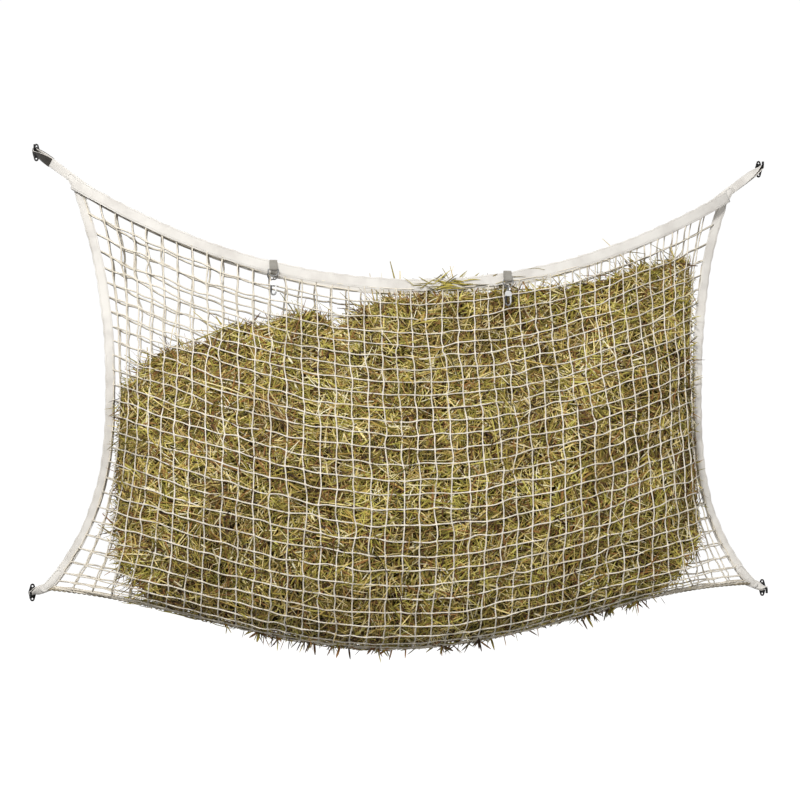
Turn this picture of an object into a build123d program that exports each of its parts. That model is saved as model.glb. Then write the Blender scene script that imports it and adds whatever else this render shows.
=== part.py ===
from build123d import *
import os
from math import cos, pi, radians, sin, tan

# A hay net hung flat against a wall on four hook plates, filled with hay.
# Millimetres. X runs along the wall, Z is up, and the wall is the plane Y = 0 with the net on
# its -Y side. The origin is the middle of the rectangle of the four plates' upper screw holes.

# Driving dimensions: wall fittings
hook_span_x = 1906.0  # between the left and right plates
hook_span_z = 1122.0  # between the upper and lower plates
screw_gap = 32.0  # between the two screw holes of one plate
screw_hole_r = 2.25
plate_thick = 3.0
plate_waist_r = 10.0
plate_tip_r = 5.5
hook_rod_r = 3.0
hook_reach = 36.5
hook_lip = 13.0
hook_bend_r = 5.5

# Driving dimensions: the net, measured from the middle of the four plates
net_mid_z = -screw_gap / 2
mid_half_width = 770.0
top_half_width = 860.0
top_flare = 100.0
bottom_flare = 155.0
waist_z = -50.0
corner_top_z = 495.0
corner_bottom_z = -548.0
top_low_z = 235.0
bottom_drop = 155.0
bottom_shift = 40.0
net_thick = 3.5
band_width = 30.0
band_thick = 2.0
side_band_width = 28.0
rope_r = 4.0
corner_depth = 26.0
side_bulge = 50.0
bottom_depth = 60.0
mouth_bulge = 82.0
belly_bulge = 120.0
belly_top = 0.88  # share of the height at which the belly ends
belly_low = 0.75  # below 1 moves the fullest place down
turn_share = 0.08  # share of the height in which the fold turns upright
wall_gap = 21.0
layer_gap = 3.3
sew_gap = 2.0

# Driving dimensions: how the shape of the panels eases off
flare_power = 2.6
side_power = 4
side_round = 0.7
lean_power = 6
empty_start = 0.62  # share of the height at which the empty corner starts, at the left side
empty_climb = 0.36
empty_span = 0.9
empty_blend = 0.25
empty_slack = 0.45

# Driving dimensions: the hay
hay_left_x = -740.0
hay_left_run = 300.0
hay_left_z = -75.0
hay_shoulder_z = 150.0
hay_steps = ((-260, 330, 55), (70, 380, 25), (500, 200, 75))  # start, run and rise of each climb
hay_below_mouth = 46.0
hay_above_rope = 22.0
hay_off_back = 17.0
hay_off_front = 16.0
hay_least = 12.0

# Driving dimensions: webbing loops at the corners
loop_width = 22.0
loop_thick = 2.0
loop_depth = 19.0
loop_clear = 0.6
sleeve_thick = 1.4
sleeve_length = 32.0
patch_thick = 1.0
patch_depth = {"top": 27.2, "bottom": 28.5}

# Driving dimensions: the two snap-hook closures on the mouth
closure_x = {"left": -350.0, "right": 247.0}
ring_wire_r = 1.6
ring_half_width = 13.0
ring_drop = 17.0
tab_width = 20.0
tab_thick = 1.6
tab_rise = 25.0
tab_stand_off = 14.0
tab_drop = 22.0
eye_wire_r = 1.4
eye_r = 6.0
stem_r = 2.0
run_clear = 0.08
snap_half_width = 6.0
snap_wire_r = 2.2
snap_reach = 27.0
head_half_width = 8.6
head_neck_half = 3.5
head_shoulder = 5.0
head_round = 1.5
head_thick = 7.0
head_below_pivot = 4.0
pivot_drop = 9.5
stem_length = 5.5
flange_r = 3.2
flange_thick = 1.6
gate_slot = 4.4
gate_slot_side = 2.2
gate_slot_rise = 3.0
pin_r = 1.0
gate_hub_r = 2.6
gate_r = 1.8
gate_thick = 2.0
gate_rest = 2.9
bow_end = 2.5
spring_r = 1.8
spring_thick = 1.4
spring_leg = 1.4


# Outline of the net in the plane of the wall

def side_x(z):
    """Half width of the net at a height: narrow at the waist, flared to the corners."""
    if z > waist_z:
        return mid_half_width + top_flare * ((z - waist_z) / (corner_top_z - waist_z)) ** 2
    drop = (waist_z - z) / (waist_z - corner_bottom_z)
    return mid_half_width + bottom_flare * drop ** flare_power


def top_z(x):
    """Height of the mouth's edge, a shallow sag between the upper corners."""
    return top_low_z + (corner_top_z - top_low_z) * (x / top_half_width) ** 2


def bottom_z(x):
    """Height of the bottom rope, which the hay pulls down a little left of the middle."""
    return corner_bottom_z - bottom_drop * cos(pi * (x + bottom_shift) / hook_span_x) ** 2


def clamp(value, low, high):
    return max(low, min(high, value))


def across(s):
    """How far the hay pushes a panel out, from 0 at the sides to 1 in the middle."""
    return (1 - clamp(abs(s), 0, 1) ** side_power) ** side_round


def edge_depth(s, t):
    """Distance from the wall of the seam between the two panels."""
    return corner_depth + side_bulge * sin(pi * t) ** 2 + bottom_depth * across(s) * (1 - t) ** 2


def fullness(s, t):
    """Less than 1 in the empty corner above the hay at the upper left."""
    start = empty_start + empty_climb * clamp((s + 1) / empty_span, 0, 1)
    empty = clamp((t - start) / empty_blend, 0, 1)
    return 1 - empty_slack * empty * empty * (3 - 2 * empty)


def front_depth(s, t):
    turn = 1 - (1 - clamp(t / turn_share, 0, 1)) ** 2
    swell = sin(pi * clamp(t / belly_top, 0, 1) ** belly_low)
    push = mouth_bulge * turn ** 0.5 + belly_bulge * swell
    return edge_depth(s, t) + across(s) * push * fullness(s, t)


def back_depth(s, t):
    lean = across(s) * (1 - (1 - t) ** lean_power)
    return (1 - lean) * edge_depth(s, t) + lean * wall_gap


def panel_xz(s, t, inset_side, inset_top, inset_bottom):
    """Place in the wall's plane of a panel point, s across and t up."""
    x = s * mid_half_width
    z = corner_bottom_z
    for _ in range(12):
        low = bottom_z(x) + inset_bottom
        z = low + t * (top_z(x) - inset_top - low)
        x = s * (side_x(z) - inset_side)
    return x, z


def grid_solid(rows, thick):
    """A thin closed sheet whose middle passes through rows of points."""
    sheet = Face.make_surface_from_array_of_points(rows, tol=0.05)
    with BuildPart() as made:
        thicken(sheet, amount=thick / 2, both=True)
    return made


def finish_piece(piece, name):
    piece.label = name
    export_step(piece, f"parts/{name}.step")


os.makedirs("parts", exist_ok=True)


# Front and back panels, which stop at the bands and the bottom rope

def panel_rows(depth, step_out):
    heights = [0, 0.02, 0.05, 0.09, 0.16, 0.26, 0.38, 0.5, 0.62, 0.74, 0.86, 1]
    steps = [-1, -0.94, -0.85, -0.7, -0.5, -0.25, 0, 0.25, 0.5, 0.7, 0.85, 0.94, 1]
    rows = []
    for t in heights:
        row = []
        for s in steps:
            x, z = panel_xz(s, t, side_band_width + sew_gap, band_width + sew_gap, rope_r + sew_gap)
            row.append((x, -depth(s, t) - step_out, z + net_mid_z))
        rows.append(row)
    return rows


front_net = grid_solid(panel_rows(front_depth, layer_gap), net_thick)
finish_piece(front_net.part, "front_net")

back_net = grid_solid(panel_rows(back_depth, -layer_gap), net_thick)
finish_piece(back_net.part, "back_net")


# Webbing bands: one on each panel's mouth edge, and one down each side through both panels

def mouth_band(depth, step_out):
    """Upright strip along a mouth edge, lofted through sections across its length."""
    with BuildPart() as band:
        for i in range(-7, 8):
            s = i / 7
            x = s * (top_half_width - 4)
            middle = Vector(x, -depth(s, 1) - step_out, top_z(x) - band_width / 2 + net_mid_z)
            with BuildSketch(Plane(origin=middle, x_dir=(0, 1, 0), z_dir=(1, 0, 0))):
                Rectangle(band_thick, band_width)
        loft()
    return band


finish_piece(mouth_band(front_depth, layer_gap).part, "top_front_band")
finish_piece(mouth_band(back_depth, -layer_gap).part, "top_back_band")


def side_band(side):
    """Upright strip down one side, lofted through level sections."""
    low, high = corner_bottom_z + 8, corner_top_z - 18
    with BuildPart() as band:
        for i in range(13):
            t = i / 12
            z = low + t * (high - low)
            middle = Vector(side * (side_x(z) - side_band_width / 2), -edge_depth(1, t), z + net_mid_z)
            with BuildSketch(Plane(origin=middle, x_dir=(1, 0, 0), z_dir=(0, 0, 1))):
                Rectangle(side_band_width, band_thick)
        loft()
    return band


for name, side in (("left", -1), ("right", 1)):
    finish_piece(side_band(side).part, f"{name}_side_band")


# Bottom rope, laid from corner to corner along the fold

rope_points = []
for i in range(18):
    s = -1 + 2 * i / 17
    x = s * (mid_half_width + bottom_flare - 8)
    rope_points.append(Vector(x, -edge_depth(s, 0), bottom_z(x) + net_mid_z))


def bend_radii(points):
    """The largest arc that each corner of a route has room for."""
    radii = []
    for before, here, after in zip(points, points[1:], points[2:]):
        turn = (here - before).get_angle(after - here)
        shorter = min((here - before).length, (after - here).length)
        radii.append(0.45 * shorter / tan(radians(turn / 2)))
    return radii


rope_radii = bend_radii(rope_points)
print("rope bend radii, mm:", [round(radius) for radius in rope_radii])

with BuildPart() as bottom_rope:
    with BuildLine() as rope_line:
        FilletPolyline(*rope_points, radius=rope_radii)
    with BuildSketch(Plane(rope_points[0], z_dir=rope_points[1] - rope_points[0])):
        Circle(rope_r)
    sweep()
finish_piece(bottom_rope.part, "bottom_rope")


# The hay, a closed mass between the panels that is lowest at the upper left

def hay_top_z(x):
    rise = clamp((x - hay_left_x) / hay_left_run, 0, 1)
    level = hay_shoulder_z * rise * (2 - rise) + hay_left_z * (1 - rise)
    for start, run, climb in hay_steps:
        level += climb * clamp((x - start) / run, 0, 1)
    return min(level, top_z(x) - hay_below_mouth)


def hay_section(x):
    half = mid_half_width - side_band_width
    low = bottom_z(x) + rope_r + hay_above_rope
    high = hay_top_z(x)
    front, back = [], []
    for share in (0.04, 0.15, 0.35, 0.55, 0.75, 0.92):
        z = low + share * (high - low)
        s = clamp(x / half, -1, 1)
        t = (z - bottom_z(x)) / (top_z(x) - bottom_z(x))
        near_wall = back_depth(s, t) + hay_off_back
        far = max(front_depth(s, t) - hay_off_front, near_wall + hay_least)
        front.append((-far, z + net_mid_z))
        back.insert(0, (-near_wall, z + net_mid_z))
    lid = ((front[-1][0] + back[0][0]) / 2, high + net_mid_z)
    floor = ((front[0][0] + back[-1][0]) / 2, low + net_mid_z)
    return [floor, *front, lid, *back]


with BuildPart() as hay_fill:
    for x in (-690, -600, -480, -340, -170, 0, 170, 340, 480, 600, 690):
        with BuildSketch(Plane(origin=(x, 0, 0), x_dir=(0, 1, 0), z_dir=(1, 0, 0))):
            with BuildLine():
                Spline(*hay_section(x), periodic=True)
            make_face()
    loft()
finish_piece(hay_fill.part, "hay_fill")


# Wall hook plates: a pressed lozenge with two screw holes and a welded rod hook

def hook_plate(x, z, lip_turn):
    with BuildPart() as plate:
        with BuildSketch(Plane(origin=(x, 0, z), x_dir=(1, 0, 0), z_dir=(0, -1, 0))):
            with BuildSketch(mode=Mode.PRIVATE) as lozenge:
                Circle(plate_waist_r)
                with Locations((0, screw_gap / 2 + 1), (0, -screw_gap / 2 - 1)):
                    Circle(plate_tip_r)
            make_hull(lozenge.edges())
            with Locations((0, screw_gap / 2), (0, -screw_gap / 2)):
                Circle(screw_hole_r, mode=Mode.SUBTRACT)
        extrude(amount=plate_thick)
        face = plate.faces().sort_by(Axis.Y)[0]
        chamfer(face.outer_wire().edges(), 0.7)
        with BuildLine() as rod:
            FilletPolyline(
                (x, -plate_thick / 2, z),
                (x, -hook_reach, z),
                (x, -hook_reach, z + lip_turn * hook_lip),
                radius=hook_bend_r,
            )
        with BuildSketch(Plane(origin=(x, -plate_thick / 2, z), z_dir=(0, -1, 0))):
            Circle(hook_rod_r)
        sweep(path=rod.line)
    return plate


hooks = {}
for side_name, side in (("left", -1), ("right", 1)):
    for level_name, level in (("top", 1), ("bottom", -1)):
        hook_x = side * hook_span_x / 2
        hook_z = level * hook_span_z / 2 + net_mid_z
        hooks[level_name, side_name] = (hook_x, hook_z)
        plate = hook_plate(hook_x, hook_z, level)
        finish_piece(plate.part, f"{level_name}_{side_name}_hook_plate")


# Webbing loops from the net's corners over the hooks

def corner_loop(start, hook, wall, grow, keep_length=None):
    """A band standing on edge that runs from a net corner round a hook rod and back."""
    inner_r = hook_rod_r + loop_clear + grow
    tail_r = 0.9 + grow
    with BuildPart() as loop:
        middle = Plane(origin=(0, -loop_depth + loop_width / 2, 0), x_dir=(1, 0, 0), z_dir=(0, -1, 0))
        with BuildSketch(middle):
            for extra, mode in ((wall, Mode.ADD), (0, Mode.SUBTRACT)):
                with BuildSketch(mode=Mode.PRIVATE) as outline:
                    with Locations(hook):
                        Circle(inner_r + extra)
                    with Locations(start):
                        Circle(tail_r + extra)
                make_hull(outline.edges(), mode=mode)
        extrude(amount=loop_width)
        if keep_length is not None:
            along = Vector(start[0] - hook[0], 0, start[1] - hook[1]).normalized()
            cut = Vector(hook[0], 0, hook[1]) + along * keep_length
            split(bisect_by=Plane(cut, z_dir=along), keep=Keep.BOTTOM)
    return loop


loop_start = {
    "top": (top_half_width + 6, corner_top_z + 2 + net_mid_z),
    "bottom": (mid_half_width + bottom_flare + 2, corner_bottom_z - 3 + net_mid_z),
}
for (level_name, side_name), hook in hooks.items():
    side = 1 if side_name == "right" else -1
    start = (side * loop_start[level_name][0], loop_start[level_name][1])
    loop = corner_loop(start, hook, loop_thick, 0)
    finish_piece(loop.part, f"{level_name}_{side_name}_loop")

sleeve_start = (-loop_start["top"][0], loop_start["top"][1])
top_left_loop_sleeve = corner_loop(
    sleeve_start, hooks["top", "left"], sleeve_thick, loop_thick + 0.1, sleeve_length
)
finish_piece(top_left_loop_sleeve.part, "top_left_loop_sleeve")


# Stitched patches that join the bands, the rope and the loops at each corner

patch_discs = {
    "top": (
        (top_half_width - 18, top_z(top_half_width - 18) - band_width / 2, 8),
        (side_x(corner_top_z - 28) - side_band_width / 2, corner_top_z - 28, 8),
        (top_half_width, corner_top_z - 9, 5),
    ),
    "bottom": (
        (side_x(corner_bottom_z + 40) - side_band_width / 2, corner_bottom_z + 40, 9),
        (side_x(corner_bottom_z + 20) - side_band_width / 2, corner_bottom_z + 20, 10),
    ),
}
for level_name, side_name in hooks:
    side = 1 if side_name == "right" else -1
    back_face = Plane(origin=(0, -patch_depth[level_name], 0), x_dir=(1, 0, 0), z_dir=(0, -1, 0))
    with BuildPart() as patch:
        with BuildSketch(back_face):
            with BuildSketch(mode=Mode.PRIVATE) as discs:
                for x, z, radius in patch_discs[level_name]:
                    with Locations((side * x, z + net_mid_z)):
                        Circle(radius)
            make_hull(discs.edges())
        extrude(amount=patch_thick)
    finish_piece(patch.part, f"{level_name}_{side_name}_corner_patch")


# Closures. Each is drawn with its ring's bar on the X axis through (0, 0, 0), then placed.

with BuildPart() as ring_tab:
    with BuildSketch(Plane.YZ.offset(-tab_width / 2)):
        with BuildSketch(mode=Mode.PRIVATE) as fold:
            Circle(ring_wire_r + 0.3 + tab_thick)
            with Locations((tab_stand_off - tab_thick, tab_rise / 2)):
                Rectangle(2 * tab_thick, 2)
        make_hull(fold.edges())
        with Locations((tab_stand_off - tab_thick, tab_rise * 3 / 4)):
            Rectangle(2 * tab_thick, tab_rise / 2)
        Circle(ring_wire_r + 0.3, mode=Mode.SUBTRACT)
    extrude(amount=tab_width)

with BuildPart() as d_ring:
    with BuildLine() as ring_line:
        FilletPolyline(
            (ring_half_width, 0, 0),
            (ring_half_width, 0, -ring_drop),
            (-ring_half_width, 0, -ring_drop),
            (-ring_half_width, 0, 0),
            radius=[3.5, 11, 11, 3.5],
            close=True,
        )
    with BuildSketch(Plane(origin=ring_line.line @ 0, z_dir=ring_line.line % 0)):
        Circle(ring_wire_r)
    sweep()

eye_centre_z = -ring_drop - (eye_r - eye_wire_r - ring_wire_r - run_clear)
head_top_z = eye_centre_z - eye_r - eye_wire_r - 1.0
stem_low_z = head_top_z - stem_length

with BuildPart() as swivel_eye:
    with BuildSketch(Plane.XY.offset(eye_centre_z)):
        with Locations((0, eye_r)):
            Circle(eye_wire_r)
    revolve(axis=Axis((0, 0, eye_centre_z), (1, 0, 0)))
    with BuildSketch(Plane.XY.offset(stem_low_z)):
        Circle(stem_r)
    extrude(amount=eye_centre_z - eye_r - stem_low_z)
    with BuildSketch(Plane.XY.offset(stem_low_z)):
        Circle(flange_r)
    extrude(amount=flange_thick)

pivot_x = snap_half_width
pivot_z = head_top_z - pivot_drop
head_low_z = pivot_z - head_below_pivot
bow_z = pivot_z - snap_reach + snap_half_width

with BuildPart() as snap_body:
    with BuildSketch(Plane.XZ.offset(-head_thick / 2)):
        with BuildLine():
            Polyline(
                (-head_neck_half, head_top_z),
                (head_neck_half, head_top_z),
                (head_half_width, head_top_z - head_shoulder),
                (head_half_width + 0.4, pivot_z),
                (head_half_width, head_low_z),
                (-head_half_width, head_low_z),
                (-head_half_width, head_top_z - head_shoulder),
                close=True,
            )
        make_face()
    extrude(amount=head_thick)
    fillet(snap_body.edges().filter_by(Axis.Y), head_round)
    with BuildSketch(Plane.XY.offset(head_top_z)):
        Circle(stem_r + run_clear)
    extrude(amount=-4, mode=Mode.SUBTRACT)
    with BuildSketch(Plane.XY.offset(stem_low_z + flange_thick + run_clear)):
        Circle(flange_r + run_clear)
    extrude(amount=-(flange_thick + 2 * run_clear), mode=Mode.SUBTRACT)
    with BuildSketch(Plane.XZ.offset(-gate_slot / 2)):
        with Locations((gate_slot_side, pivot_z + gate_slot_rise)):
            Rectangle(2 * head_half_width, 2 * head_thick, align=(Align.MIN, Align.MAX))
    extrude(amount=gate_slot, mode=Mode.SUBTRACT)
    with BuildSketch(Plane.XZ.offset(-head_thick / 2)):
        with Locations((pivot_x, pivot_z)):
            Circle(pin_r)
    extrude(amount=head_thick, mode=Mode.SUBTRACT)
    with BuildLine() as bow:
        start = Line((-snap_half_width, 0, head_low_z + 1), (-snap_half_width, 0, bow_z))
        arc = ThreePointArc(start @ 1, (0, 0, bow_z - snap_half_width), (snap_half_width, 0, bow_z))
        Line(arc @ 1, (snap_half_width, 0, bow_z + bow_end))
    with BuildSketch(Plane(origin=(-snap_half_width, 0, head_low_z + 1), z_dir=(0, 0, -1))):
        Circle(snap_wire_r)
    sweep(path=bow.line)

gate_low_z = bow_z + gate_rest

with BuildPart() as gate:
    with BuildSketch(Plane.XZ.offset(-0.2)):
        with Locations((pivot_x, pivot_z)):
            Circle(gate_hub_r)
        with Locations((pivot_x, (pivot_z + gate_low_z) / 2)):
            Rectangle(2 * gate_r, pivot_z - gate_low_z)
        with Locations((pivot_x, pivot_z)):
            Circle(pin_r + run_clear, mode=Mode.SUBTRACT)
    extrude(amount=gate_thick)

with BuildPart() as gate_pin:
    with BuildSketch(Plane.XZ.offset(-head_thick / 2)):
        with Locations((pivot_x, pivot_z)):
            Circle(pin_r)
    extrude(amount=head_thick)

with BuildPart() as gate_spring:
    with BuildSketch(Plane.XZ.offset(-1.9)):
        with Locations((pivot_x, pivot_z)):
            Circle(spring_r)
            Circle(pin_r + 0.02, mode=Mode.SUBTRACT)
        with Locations((pivot_x, pivot_z + spring_r + 0.4)):
            Rectangle(0.6, spring_leg)
    extrude(amount=spring_thick)

closure_pieces = {
    "ring_tab": ring_tab,
    "d_ring": d_ring,
    "swivel_eye": swivel_eye,
    "snap_body": snap_body,
    "gate": gate,
    "gate_pin": gate_pin,
    "gate_spring": gate_spring,
}

for side_name, x in closure_x.items():
    s = x / top_half_width
    bar_z = top_z(x) - tab_drop + net_mid_z
    band_face = -front_depth(s, 1) - layer_gap - band_thick / 2
    hang = Location((x, band_face - tab_stand_off - sew_gap / 2, bar_z))
    for piece_name, made in closure_pieces.items():
        finish_piece(hang * made.part, f"{side_name}_front_{piece_name}")
    band_face = -back_depth(s, 1) + layer_gap - band_thick / 2
    hang = Location((x, band_face - tab_stand_off - sew_gap / 2, bar_z))
    for piece_name in ("ring_tab", "d_ring"):
        finish_piece(hang * closure_pieces[piece_name].part, f"{side_name}_back_{piece_name}")
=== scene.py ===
"""A hay net, filled and hung flat between four wall hooks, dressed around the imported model.

Metres. X runs along the wall, Z is up and the net hangs on the -Y side of the wall plane.
"""
import math

import bpy
import numpy as np
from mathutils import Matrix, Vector


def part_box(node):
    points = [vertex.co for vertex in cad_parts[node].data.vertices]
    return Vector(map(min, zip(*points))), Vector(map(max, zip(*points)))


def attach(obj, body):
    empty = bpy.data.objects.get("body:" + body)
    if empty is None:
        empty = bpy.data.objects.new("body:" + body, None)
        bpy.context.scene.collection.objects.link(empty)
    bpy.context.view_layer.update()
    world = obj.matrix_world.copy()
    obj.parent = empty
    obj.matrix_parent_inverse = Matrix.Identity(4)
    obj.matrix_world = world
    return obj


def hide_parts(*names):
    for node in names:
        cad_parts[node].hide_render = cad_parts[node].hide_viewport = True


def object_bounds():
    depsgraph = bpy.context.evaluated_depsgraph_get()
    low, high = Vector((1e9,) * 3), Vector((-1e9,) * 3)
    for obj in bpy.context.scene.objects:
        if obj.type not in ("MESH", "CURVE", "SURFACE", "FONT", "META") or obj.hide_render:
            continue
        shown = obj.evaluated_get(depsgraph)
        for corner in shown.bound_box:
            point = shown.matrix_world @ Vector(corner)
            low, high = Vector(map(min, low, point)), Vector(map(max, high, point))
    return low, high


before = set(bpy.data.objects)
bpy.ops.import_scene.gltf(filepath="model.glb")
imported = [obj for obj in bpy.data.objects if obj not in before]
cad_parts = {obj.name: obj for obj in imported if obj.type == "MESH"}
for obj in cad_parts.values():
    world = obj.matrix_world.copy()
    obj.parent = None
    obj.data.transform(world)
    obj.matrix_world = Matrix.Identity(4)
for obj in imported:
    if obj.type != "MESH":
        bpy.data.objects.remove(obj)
cad_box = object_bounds()

# Driving dimensions: the outline and the depth of the net, as in the CAD model
NET_MID_Z = -0.016
MID_HALF_WIDTH = 0.770
TOP_HALF_WIDTH = 0.860
TOP_FLARE = 0.100
BOTTOM_FLARE = 0.155
WAIST_Z = -0.050
CORNER_TOP_Z = 0.495
CORNER_BOTTOM_Z = -0.548
BELLY_BOTTOM_Z = -0.700
TOP_LOW_Z = 0.235
BOTTOM_DROP = 0.155
BOTTOM_SHIFT = 0.040
HOOK_SPAN_X = 1.906
HOOK_Z = 0.561
BAND_WIDTH = 0.030
SIDE_BAND_WIDTH = 0.028
CORNER_DEPTH = 0.026
SIDE_BULGE = 0.050
BOTTOM_DEPTH = 0.060
MOUTH_BULGE = 0.082
BELLY_BULGE = 0.120
WALL_GAP = 0.021
LAYER_GAP = 0.0033

# Driving dimensions: netting, webbing and hay
COLUMNS = 42
ROWS = 28
CORD_R = 0.0017
KNOT_SWELL = 1.7
CLOTH_HALF_WIDTH = 0.840
ROPE_STRAND_R = 0.0022
WEB_THICK = 0.0018
STITCH_PITCH = 0.0048
STITCH_LENGTH = 0.0034
LOOP_WIDTH = 0.022
LOOP_HOOK_R = 0.0046
LOOP_SEWN_R = 0.0015
LOOP_SEWN_DEPTH = 0.031
LOOP_HOOK_DEPTH = 0.019
LUMP = 0.007
UP = np.array((0.0, 0.0, 1.0))
OUT = np.array((0.0, -1.0, 0.0))


# The net's surfaces

def side_x(z):
    """Half width of the net at a height."""
    high = np.clip((z - WAIST_Z) / (CORNER_TOP_Z - WAIST_Z), 0, None)
    low = np.clip((WAIST_Z - z) / (WAIST_Z - CORNER_BOTTOM_Z), 0, None)
    return MID_HALF_WIDTH + TOP_FLARE * high ** 2 + BOTTOM_FLARE * low ** 2.6


def top_z(x):
    """Height of the mouth's edge."""
    return TOP_LOW_Z + (CORNER_TOP_Z - TOP_LOW_Z) * (x / TOP_HALF_WIDTH) ** 2


def bottom_z(x):
    """Height of the bottom rope."""
    return CORNER_BOTTOM_Z - BOTTOM_DROP * np.cos(np.pi * (x + BOTTOM_SHIFT) / HOOK_SPAN_X) ** 2


def across(s):
    """How full the net is across its width: 1 in the middle and 0 at the side bands."""
    return (1 - np.clip(np.abs(s), 0, 1) ** 4) ** 0.7


def edge_depth(s, t):
    """How far the panels' joined edge stands off the wall."""
    return CORNER_DEPTH + SIDE_BULGE * np.sin(np.pi * t) ** 2 + BOTTOM_DEPTH * across(s) * (1 - t) ** 2


def empty_corner(s, t):
    """1 in the empty part of the net above the hay at the upper left, and 0 in the filled part."""
    ramp = np.clip((t - 0.62 - 0.36 * np.clip((s + 1) / 0.9, 0, 1)) / 0.25, 0, 1)
    return ramp * ramp * (3 - 2 * ramp)


def front_depth(s, t):
    """How far the front panel stands off the wall."""
    turn = 1 - (1 - np.clip(t / 0.08, 0, 1)) ** 2
    swell = np.sin(np.pi * np.clip(t / 0.88, 0, 1) ** 0.75)
    push = MOUTH_BULGE * turn ** 0.5 + BELLY_BULGE * swell
    return edge_depth(s, t) + across(s) * push * (1 - 0.45 * empty_corner(s, t))


def back_depth(s, t):
    """How far the back panel stands off the wall."""
    lean = across(s) * (1 - (1 - t) ** 6)
    return (1 - lean) * edge_depth(s, t) + lean * WALL_GAP


def panel_xz(s, t, inset_side, inset_top, inset_bottom):
    """Place in the wall's plane of a panel point, s across and t up."""
    x = s * MID_HALF_WIDTH
    for _ in range(12):
        low = bottom_z(x) + inset_bottom
        z = low + t * (top_z(x) - inset_top - low)
        x = s * (side_x(z) - inset_side)
    return x, z


def panel_st(x, z):
    """The s and t of a place in the wall's plane."""
    s = np.clip(x / (side_x(z) - SIDE_BAND_WIDTH), -1, 1)
    t = np.clip((z - bottom_z(x)) / (top_z(x) - BAND_WIDTH - bottom_z(x)), 0, 1)
    return s, t


def mesh_xz(s, t):
    """Place of a knot. The cloth's columns are even, gathered at the waist and spread at the corners."""
    x = s * MID_HALF_WIDTH
    for _ in range(12):
        low = bottom_z(x) + 0.002
        z = low + t * (top_z(x) - BAND_WIDTH + 0.004 - low)
        edge = side_x(z) - SIDE_BAND_WIDTH + 0.006
        x = np.sign(s) * (CLOTH_HALF_WIDTH * np.abs(s) + (edge - CLOTH_HALF_WIDTH) * np.abs(s) ** 6)
    return x, z


def waves(seed, length, count=9):
    """A smooth seeded field over the wall's plane, about -1 to 1, with features of a given length."""
    draw = np.random.default_rng(seed)
    angle = draw.uniform(0, 2 * np.pi, count)
    number = 2 * np.pi / (length * draw.uniform(0.7, 1.6, count))
    phase = draw.uniform(0, 2 * np.pi, count)

    def field(x, z):
        total = np.zeros(np.broadcast(x, z).shape)
        for a, k, p in zip(angle, number, phase):
            total = total + np.cos(k * (x * np.cos(a) + z * np.sin(a)) + p)
        return total / math.sqrt(count)

    return field


lumps_large = waves(11, 0.26)
lumps_small = waves(12, 0.085)
drift_x = waves(13, 0.16)
drift_z = waves(14, 0.16)


def hay_push(x, z, s, t):
    """How lumps in the hay push the netting in and out."""
    fade = across(s) * np.clip(t / 0.1, 0, 1) * np.clip((1 - t) / 0.08, 0, 1)
    return LUMP * fade * (lumps_large(x, z) + 0.45 * lumps_small(x, z))


# Mesh helpers

def new_object(name, verts, loops, starts, material, smooth=True, layers=None):
    """A mesh object from vertex places, face loops and where each face starts."""
    mesh = bpy.data.meshes.new(name)
    mesh.vertices.add(len(verts))
    mesh.vertices.foreach_set("co", np.ascontiguousarray(verts, dtype=np.float32).ravel())
    mesh.loops.add(len(loops))
    mesh.loops.foreach_set("vertex_index", np.ascontiguousarray(loops, dtype=np.int32))
    mesh.polygons.add(len(starts))
    mesh.polygons.foreach_set("loop_start", np.ascontiguousarray(starts, dtype=np.int32))
    mesh.update(calc_edges=True)
    mesh.validate()
    mesh.polygons.foreach_set("use_smooth", [smooth] * len(mesh.polygons))
    for layer, values in (layers or {}).items():
        attribute = mesh.attributes.new(layer, "FLOAT", "POINT")
        attribute.data.foreach_set("value", np.ascontiguousarray(values, dtype=np.float32).ravel())
    mesh.materials.append(material)
    piece = bpy.data.objects.new(name, mesh)
    bpy.context.scene.collection.objects.link(piece)
    return piece


def belongs(piece, node):
    """Puts a piece on the net's body and hides the CAD node it stands for."""
    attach(piece, "net")
    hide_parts(node)


def loft_faces(paths, rings, sides):
    """Face loops of closed tubes, each of some rings of some sides, with a cap at both ends."""
    base = (np.arange(paths) * rings * sides)[:, None, None]
    ring = (np.arange(rings - 1) * sides)[None, :, None]
    side = np.arange(sides)[None, None, :]
    following = (side + 1) % sides
    lower, upper = base + ring, base + ring + sides
    corners = [lower + side, lower + following, upper + following, upper + side]
    quads = np.stack(corners, axis=-1).reshape(-1, 4)
    first = (base[:, 0] + np.arange(sides)[::-1]).reshape(-1, sides)
    last = (base[:, 0] + (rings - 1) * sides + np.arange(sides)).reshape(-1, sides)
    caps = np.concatenate([first, last])
    loops = np.concatenate([quads.ravel(), caps.ravel()])
    starts = np.concatenate([np.arange(len(quads)) * 4, len(quads) * 4 + np.arange(len(caps)) * sides])
    return loops, starts


def unit(v):
    """Vectors scaled to length 1."""
    return v / np.maximum(np.linalg.norm(v, axis=-1, keepdims=True), 1e-12)


def along_path(points):
    """Distance along each path, for points of shape (paths, rings, 3)."""
    step = np.linalg.norm(np.diff(points, axis=1), axis=2)
    return np.concatenate([np.zeros((len(points), 1)), np.cumsum(step, axis=1)], axis=1)


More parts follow.
